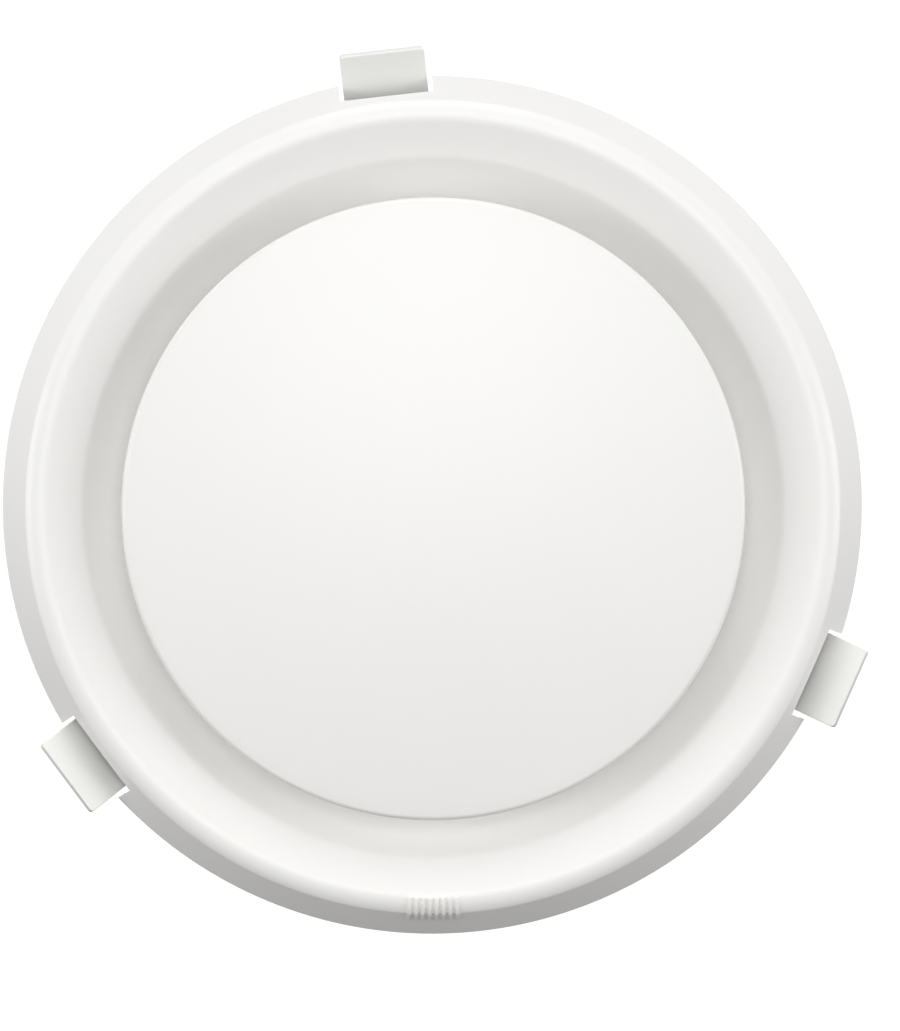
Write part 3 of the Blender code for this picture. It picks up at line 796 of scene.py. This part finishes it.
# ---------------------------------------------------------------- centre disc and its spindle
def make_disc():
    low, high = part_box("disc_plate")
    radius, skirt_top = high.x, high.z
    edge = math.radians(DISC_EDGE_TILT)
    dome = (radius - DISC_EDGE_ROUND * (1 - math.sin(edge))) / math.sin(edge)
    face = walk(
        (radius, skirt_top), 90.0,
        [("run", DISC_SKIRT_RUN), ("turn", DISC_EDGE_ROUND, DISC_EDGE_TILT, 9), ("turn", dome, 0.0, 24)],
    )
    front = [(r, z) for r, z, tilt in face]
    back = behind(face, DISC_SHELL)
    front[-1] = (0.0, front[-1][1])
    back[-1] = (0.0, back[-1][1])
    disc = turned("disc_plate", list(reversed(back)) + front)
    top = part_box("disc_hub")[0].z - GAP
    bosses = joined("disc_bosses", [
        rod("boss", (0.0175, 0.0, back[-1][1] - 0.0006), (0.0175, 0.0, top), 0.0042, angle, 40)
        for angle in HUB_SCREW_ANGLES
    ])
    inner, outer, sunk = 0.0205, 0.0620, 0.0008
    rise = [back[-1][1] + (dome - math.sqrt(dome * dome - r * r)) for r in (inner, outer)]
    gusset = [
        (inner, top - 0.0004), (inner, rise[0] - sunk),
        (outer, rise[1] - sunk), (outer, rise[1] + sunk / 2),
    ]
    gussets = repeated("disc_gussets", lambda: prism("gusset", gusset, -0.0007, 0.0007), HUB_SCREW_ANGLES)
    pilots = joined("disc_pilots", [
        rod("pilot", (0.0175, 0.0, top - 0.0034), (0.0175, 0.0, top + 0.002), 0.0016, angle, 24)
        for angle in HUB_SCREW_ANGLES
    ])
    mesh = shaped(disc, ("UNION", bosses), ("UNION", gussets), ("DIFFERENCE", pilots))
    fitted("centre_disc_moulding", mesh, "disc_plate")


def angle_of(node):
    """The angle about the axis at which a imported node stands, in degrees."""
    low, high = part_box(node)
    return math.degrees(math.atan2(low.y + high.y, low.x + high.x))


HUB_SCREW_ANGLES = [angle_of(f"hub_screw_{n}") for n in (1, 2, 3)]


def make_disc_hub():
    low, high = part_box("disc_hub")
    flange_top = -0.0172
    bore, boss, flange = 0.00535, 0.0095, 0.0240
    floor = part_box("adjusting_spindle")[0].z - GAP
    outline = rounded(
        [(0.0, floor, 0.0), (bore, floor, 0.0), (bore, high.z, 0.0003), (boss, high.z, 0.0006),
         (boss, flange_top, 0.0016), (flange, flange_top, 0.0006), (flange, low.z, 0.0005),
         (0.0, low.z, 0.0)],
    )
    ribs = joined("hub_ribs", [
        block("rib", (0.0138, 0.0, flange_top + 0.0014), (0.0110, 0.0014, 0.0034), angle + 60.0, 0.0002)
        for angle in HUB_SCREW_ANGLES
    ])
    holes = joined("hub_screw_holes", [
        rod("hole", (0.0175, 0.0, -0.022), (0.0175, 0.0, -0.015), 0.0018, angle)
        for angle in HUB_SCREW_ANGLES
    ])
    cross = rod("hub_pin_hole", (0.0, -0.012, -0.0132), (0.0, 0.012, -0.0132), 0.00135)
    mesh = shaped(
        turned("disc_hub", outline, 96), ("UNION", ribs), ("DIFFERENCE", holes), ("DIFFERENCE", cross),
    )
    fitted("disc_hub_moulding", mesh, "disc_hub")


def make_hub_screws():
    mesh = screw_mesh("hub_screw", 0.0028, 0.0018, 0.0012, 0.0055, 0.0009)
    rows = []
    for n, angle in enumerate(HUB_SCREW_ANGLES, 1):
        turn = Matrix.Rotation(math.radians(angle), 4, "Z")
        place = turn @ Matrix.Translation((0.0175, 0.0, -0.0169))
        rows.append((f"hub_screw_{n}_finished", f"hub_screw_{n}", place))
    place_screws(mesh, rows)


def make_spindle():
    low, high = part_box("adjusting_spindle")
    radius = high.x
    steps = int((high.z - low.z) / (THREAD_PITCH / 16))
    heights = [high.z - 0.0010 - (high.z - low.z - 0.0016) * n / steps for n in range(steps + 1)]
    outline = [(0.0, high.z), (radius - 0.0010, high.z)] + [(radius, z) for z in heights]
    outline += [(radius - 0.0006, low.z), (0.0, low.z)]
    thread_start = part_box("disc_hub")[1].z + 0.0010

    def threaded(r, z, angle):
        if r < radius - 1e-6 or z < thread_start:
            return r
        run_in = min(1.0, (z - thread_start) / 0.002)
        return radius - THREAD_DEPTH * run_in * (1.0 - thread_wave(z, angle))

    slot = block("driver_slot", (0.0, 0.0, high.z), (0.012, 0.0012, 0.0030))
    cross = rod("spindle_pin_hole", (0.0, -0.012, -0.0132), (0.0, 0.012, -0.0132), 0.00135)
    rod_blank = turned("adjusting_spindle", outline, 64, radius_at=threaded)
    mesh = shaped(rod_blank, ("DIFFERENCE", slot), ("DIFFERENCE", cross))
    fitted("adjusting_spindle_threaded", mesh, "adjusting_spindle", 30.0)


def make_hub_pin():
    low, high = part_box("hub_pin")
    radius = high.x
    outline = rounded(
        [(0.0, high.y, 0.0), (radius, high.y, 0.0003), (radius, low.y, 0.0003), (0.0, low.y, 0.0)],
    )
    slit = block("roll_slit", (radius, 0.0, 0.0), (radius, 0.0003, 0.05))
    mesh = shaped(turned("hub_pin", outline, 32), ("DIFFERENCE", slit))
    mesh.transform(Matrix.Translation((0.0, 0.0, -0.0132)) @ Matrix.Rotation(math.radians(-90.0), 4, "X"))
    fitted("hub_roll_pin", mesh, "hub_pin")


def make_travel_stop():
    low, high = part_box("stop_washer")
    outer, bore = high.x, 0.0054
    ease = 0.0004
    outline = rounded(
        [(bore, high.z, 0.0002), (outer, high.z, ease), (outer, low.z, ease), (bore, low.z, 0.0002)],
        closed=True,
    )
    fitted("stop_washer_finished", turned("stop_washer", outline, 96, closed=True), "stop_washer")

    low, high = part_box("stop_nut")
    across = 0.0095
    hexagon = rod("nut_hexagon", (0.0, 0.0, low.z), (0.0, 0.0, high.z - 0.0018), across, 10.0, 6)
    shoulder = across * math.cos(math.radians(30.0))
    turned_limit = turned("nut_limit", rounded(
        [(0.0, high.z, 0.0), (shoulder - 0.0016, high.z, 0.0006), (shoulder - 0.0012, high.z - 0.0016, 0.0),
         (across + 0.0004, high.z - 0.0034, 0.0), (across + 0.0004, low.z + 0.0006, 0.0),
         (shoulder, low.z, 0.0), (0.0, low.z, 0.0)],
    ), 72)
    collar = rod("nut_collar", (0.0, 0.0, high.z - 0.0030), (0.0, 0.0, high.z), shoulder - 0.0008, 0.0, 72)
    bore_cut = rod("nut_bore", (0.0, 0.0, low.z - 0.002), (0.0, 0.0, high.z + 0.002), 0.00535, 0.0, 48)
    mesh = shaped(hexagon, ("UNION", collar), ("INTERSECT", turned_limit), ("DIFFERENCE", bore_cut))
    fitted("stop_nut_finished", mesh, "stop_nut")


# ---------------------------------------------------------------- board clips
BACK = 0.1073 - HINGE_RADIUS
REACH = 0.0122


def bracket_mesh():
    """A folded sheet bracket about the hinge pin: a U in plan, trimmed to its side outline."""
    outer = CHEEK_GAP + SHEET
    bend = 0.0020
    low, high = -0.0064, 0.0160
    plan = rounded(
        [(BACK + REACH, outer, 0.0), (BACK, outer, bend), (BACK, -outer, bend), (BACK + REACH, -outer, 0.0)],
    )
    inside = rounded(
        [(BACK + REACH, -CHEEK_GAP, 0.0), (BACK + SHEET, -CHEEK_GAP, bend - SHEET),
         (BACK + SHEET, CHEEK_GAP, bend - SHEET), (BACK + REACH, CHEEK_GAP, 0.0)],
    )
    sheet = prism("bracket_sheet", plan + inside, low, high)
    sheet.transform(Matrix.Rotation(math.radians(90.0), 4, "X"))
    sheet.transform(Matrix.Diagonal((1.0, 1.0, -1.0, 1.0)))
    sheet.flip_normals()
    seat_low = 0.0185 - HINGE_HEIGHT
    side = rounded(
        [(BACK - 0.001, seat_low + 0.001, 0.0), (BACK + 0.0021, seat_low + 0.001, 0.0),
         (BACK + 0.0021, -0.0045, 0.0),
         (BACK + 0.0062, -0.0064, 0.0015), (BACK + REACH, -0.0064, 0.0015), (BACK + REACH, 0.0030, 0.0030),
         (BACK + 0.0060, 0.0160, 0.0030), (BACK - 0.001, 0.0160, 0.0)],
        closed=True,
    )
    trim = prism("bracket_side", side, -0.02, 0.02)
    pin_hole = rod("pin_hole", (0.0, -0.02, 0.0), (0.0, 0.02, 0.0), 0.00155)
    screws = joined("screw_holes", [
        rod(
            "screw_hole", (BACK - 0.001, y, BRACKET_SCREW_HEIGHT),
            (BACK + 0.003, y, BRACKET_SCREW_HEIGHT), 0.0016,
        )
        for y in BRACKET_SCREW_SIDES
    ])
    return shaped(sheet, ("INTERSECT", trim), ("DIFFERENCE", pin_hole), ("DIFFERENCE", screws))


BRACKET_SCREW_SIDES = (-0.0105, 0.0105)
BRACKET_SCREW_HEIGHT = 0.0285 - HINGE_HEIGHT
BLADE_TIP = (0.1540 - HINGE_RADIUS, -0.0050 - HINGE_HEIGHT)
BLADE_SLOPE = math.atan2(-BLADE_TIP[1], BLADE_TIP[0])
BLADE_LENGTH = math.hypot(*BLADE_TIP)


def blade_mesh():
    """The clip blade about its pin: knuckles, a leaf with eased corners and a stop heel."""
    half = BLADE_THICKNESS / 2
    wide = BLADE_WIDTH / 2
    corner = 0.0012
    plan = rounded(
        [(0.0, -wide, 0.0), (BLADE_LENGTH, -wide, corner), (BLADE_LENGTH, wide, corner), (0.0, wide, 0.0)],
        closed=True,
    )
    leaf = prism("leaf", plan, -half, half, 0.00035)
    leaf.transform(Matrix.Rotation(math.radians(-90.0), 4, "X"))
    knuckle = rod("knuckle", (0.0, -wide, 0.0), (0.0, wide, 0.0), KNUCKLE_RADIUS, 0.0, 64)
    reach, angle, tip = 0.0063, math.radians(247.0), math.radians(6.0)
    spread = math.radians(38.0)
    heel = [
        (KNUCKLE_RADIUS * math.cos(angle - spread), KNUCKLE_RADIUS * math.sin(angle - spread), 0.0),
        (reach * math.cos(angle - tip), reach * math.sin(angle - tip), 0.0004),
        (reach * math.cos(angle + tip), reach * math.sin(angle + tip), 0.0004),
        (KNUCKLE_RADIUS * math.cos(angle + spread), KNUCKLE_RADIUS * math.sin(angle + spread), 0.0),
        (0.0, 0.0, 0.0),
    ]
    heel = prism("heel", rounded(heel, closed=True), -wide + 0.0001, wide - 0.0001)
    ribs = joined("leaf_ribs", [
        block("leaf_rib", (0.0250, side, half + 0.0002), (0.0280, 0.0012, 0.0012), 0.0, 0.0003)
        for side in (-0.0105, 0.0105)
    ])
    bay = rod("spring_bay", (0.0, -SPRING_BAY, 0.0), (0.0, SPRING_BAY, 0.0), KNUCKLE_RADIUS + 0.0014, 0.0, 48)
    bay_below = block("heel_bay", (-0.002, 0.0, -0.0045), (0.010, 2 * SPRING_BAY, 0.009))
    bore = rod("pin_bore", (0.0, -0.02, 0.0), (0.0, 0.02, 0.0), 0.00155)
    mesh = shaped(
        knuckle, ("UNION", leaf), ("UNION", heel), ("UNION", ribs),
        ("DIFFERENCE", bay), ("DIFFERENCE", bay_below), ("DIFFERENCE", bore),
    )
    mesh.transform(Matrix.Rotation(BLADE_SLOPE, 4, "Y"))
    return mesh


def pin_mesh():
    """A domed hinge pin along Y, with its far end peened over."""
    half = CHEEK_GAP + SHEET
    outline = rounded(
        [(0.0, half + 0.0014, 0.0), (0.0016, half + 0.0014, 0.0008), (0.0022, half + GAP, 0.0003),
         (0.00125, half + GAP, 0.0), (0.00125, -half - 0.0012, 0.0003), (0.0, -half - 0.0016, 0.0)],
    )
    mesh = turned("hinge_pin", outline, 40)
    mesh.transform(Matrix.Rotation(math.radians(-90.0), 4, "X"))
    return mesh


def spring_mesh():
    """A torsion spring round the pin: one leg up the back plate, the other along the leaf."""
    coil, gauge = 0.0026, 0.0005
    ends, turns = 0.0068, 11
    points = []
    plate = BACK + SHEET + gauge + 0.0002
    for z in (0.0100, 0.0080, 0.0060, 0.0040, 0.0020, 0.0002):
        points.append((plate, -ends, z))
    middle = (plate - coil) / 2
    bow = abs(plate + coil) / 2
    for n in range(1, 8):
        angle = math.pi * (1 + n / 8)
        points.append((middle + bow * math.cos(angle), -ends, bow * math.sin(angle) * 1.2))
    sweep = 360.0 * turns + 90.0
    pieces = 16 * turns + 4
    for n in range(pieces + 1):
        angle = math.radians(180.0 - sweep * n / pieces)
        y = -ends + 2 * ends * n / pieces
        points.append((coil * math.cos(angle), y, coil * math.sin(angle)))
    slope = Vector((math.cos(BLADE_SLOPE), 0.0, -math.sin(BLADE_SLOPE)))
    up = Vector((math.sin(BLADE_SLOPE), 0.0, math.cos(BLADE_SLOPE)))
    rest = BLADE_THICKNESS / 2 + gauge + 0.0001
    for along in (0.0040, 0.0070, 0.0100, 0.0130, 0.0160):
        lift = rest + (coil - rest) * max(0.0, 1 - along / 0.007) ** 2
        place = slope * along + up * lift
        points.append((place.x, ends, place.z))
    return wire("clip_spring", points, gauge)


def make_clips():
    bracket, blade, pin, spring = bracket_mesh(), blade_mesh(), pin_mesh(), spring_mesh()
    screw = screw_mesh("bracket_screw", 0.0024, 0.0016, 0.0010, 0.0035, 0.0007)
    lay = Matrix.Rotation(math.radians(90.0), 4, "Y")
    for number in CLIP_NUMBERS:
        place = clip_frame(number)
        rows = [
            (f"clip_{number}_bracket", bracket, f"clip_bracket_{number}"),
            (f"clip_{number}_blade", blade, f"clip_blade_{number}"),
            (f"clip_{number}_hinge_pin", pin, f"hinge_pin_{number}"),
        ]
        for name, mesh, node in rows:
            copy = mesh.copy()
            copy.transform(place)
            fitted(name, copy, node)
        for letter, side in zip("ab", BRACKET_SCREW_SIDES):
            copy = screw.copy()
            seat = Matrix.Translation((BACK + SHEET + GAP, side, BRACKET_SCREW_HEIGHT))
            copy.transform(place @ seat @ lay)
            fitted(f"clip_{number}_screw_{letter}", copy, f"bracket_screw_{number}{letter}", 40.0)
        copy = spring.copy()
        copy.transform(place)
        piece = fitted(f"clip_{number}_torsion_spring", copy, f"clip_spring_{number}", 60.0, ride=False)
        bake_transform(piece)


# ---------------------------------------------------------------- studio and camera
OVERHEAD = 1.3  # a wide light straight above, which keeps the floor pale
AMBIENT = 0.51
BACK_AMBIENT = 0.10  # the room is darker towards +Y
FLOOR_HEIGHT = -2.6
FLOOR_RADIUS = 30.0
PANELS = [
    ("front_softbox", -90.0, -28.0, 2.0, (0.9, 0.9), 9.0),
    ("right_softbox", 0.0, -28.0, 2.0, (0.9, 0.9), 11.5),
    ("left_softbox", 180.0, -28.0, 2.0, (0.9, 0.9), 11.5),
    ("camera_side_light", -90.0, -80.0, 2.0, (0.9, 0.9), 10.5),
    ("void_light", -60.0, 50.0, 2.2, (1.6, 1.6), 6.0),
]


def panel(name, azimuth, elevation, distance, size, power):
    """A soft light panel aimed at the diffuser; azimuth from +X towards +Y, elevation up."""
    light = bpy.data.lights.new(name, "AREA")
    light.shape = "RECTANGLE"
    light.size, light.size_y = size
    light.energy = power
    lamp = bpy.data.objects.new(name, light)
    bpy.context.scene.collection.objects.link(lamp)
    a, e = math.radians(azimuth), math.radians(elevation)
    away = Vector((math.cos(a) * math.cos(e), math.sin(a) * math.cos(e), math.sin(e)))
    lamp.location = away * distance
    lamp.rotation_euler = away.to_track_quat("Z", "Y").to_euler()


def make_studio():
    world = bpy.data.worlds.new("pale_studio")
    bpy.context.scene.world = world
    world.use_nodes = True
    nodes, links = world.node_tree.nodes, world.node_tree.links
    sky = nodes["Background"]
    sky.inputs["Color"].default_value = (1.0, 1.0, 1.0, 1.0)
    where = nodes.new("ShaderNodeTexCoord")
    axes = nodes.new("ShaderNodeSeparateXYZ")
    fade = nodes.new("ShaderNodeMapRange")
    fade.inputs["From Min"].default_value = -0.2
    fade.inputs["From Max"].default_value = 0.7
    fade.inputs["To Min"].default_value = AMBIENT
    fade.inputs["To Max"].default_value = BACK_AMBIENT
    links.new(where.outputs["Generated"], axes.inputs["Vector"])
    links.new(axes.outputs["Y"], fade.inputs["Value"])
    links.new(fade.outputs["Result"], sky.inputs["Strength"])
    seen = nodes.new("ShaderNodeBackground")
    seen.inputs["Color"].default_value = (1.0, 1.0, 1.0, 1.0)
    seen.inputs["Strength"].default_value = 1.1
    ray = nodes.new("ShaderNodeLightPath")
    choice = nodes.new("ShaderNodeMixShader")
    links.new(ray.outputs["Is Camera Ray"], choice.inputs["Fac"])
    links.new(sky.outputs["Background"], choice.inputs[1])
    links.new(seen.outputs["Background"], choice.inputs[2])
    links.new(choice.outputs["Shader"], nodes["World Output"].inputs["Surface"])

    for row in PANELS:
        panel(*row)

    shape = bmesh.new()
    bmesh.ops.create_circle(shape, cap_ends=True, segments=96, radius=FLOOR_RADIUS)
    mesh = new_mesh("studio_floor", shape)
    floor = bpy.data.objects.new("studio_floor", mesh)
    floor.location = (0.0, 0.0, FLOOR_HEIGHT)
    bpy.context.scene.collection.objects.link(floor)
    paint = Finish("pale_floor_paint", (0.93, 0.93, 0.92), 0.8)
    paint.tint(paint.noise(0.8, 3.0), 0.985, 1.0)
    mesh.materials.append(paint.material)
    floor.visible_diffuse = False

    sun = bpy.data.lights.new("overhead_light", "SUN")
    sun.energy = OVERHEAD
    sun.angle = math.radians(20.0)
    lamp = bpy.data.objects.new("overhead_light", sun)
    bpy.context.scene.collection.objects.link(lamp)


VIEW_DISTANCE = 1.6
VIEW_TILT = 3.3
VIEW_SWING = 1.0
AIM = Vector((0.0056, 0.0024, -0.0080))
TALL_SPAN = 0.3463
SENSOR = 36.0


def make_camera():
    """Looks straight up at the face, from slightly towards the front."""
    data = bpy.data.cameras.new("camera")
    data.sensor_fit = "VERTICAL"
    data.sensor_height = SENSOR
    data.sensor_width = SENSOR
    data.lens = SENSOR * VIEW_DISTANCE / TALL_SPAN
    camera = bpy.data.objects.new("camera", data)
    bpy.context.scene.collection.objects.link(camera)
    tilt, swing = math.radians(VIEW_TILT), math.radians(VIEW_SWING)
    back = Vector((-math.sin(swing), -math.sin(tilt), -1.0)).normalized()
    camera.location = AIM + back * VIEW_DISTANCE
    right = Vector((1.0, 0.0, 0.0))
    up = back.cross(right).normalized()
    right = up.cross(back)
    facing = Matrix((right, up, back)).transposed().to_4x4()
    camera.matrix_world = Matrix.Translation(camera.location) @ facing
    bpy.context.scene.camera = camera
    bpy.context.scene.view_settings.view_transform = "Standard"


# ---------------------------------------------------------------- the whole scene
make_camera()
neck_bore = make_face_ring()
make_gasket()
make_spigot(neck_bore)
make_duct_seal()
make_neck_screws()
make_bridge()
make_bush()
make_disc()
make_disc_hub()
make_hub_screws()
make_spindle()
make_hub_pin()
make_travel_stop()
make_clips()
make_studio()
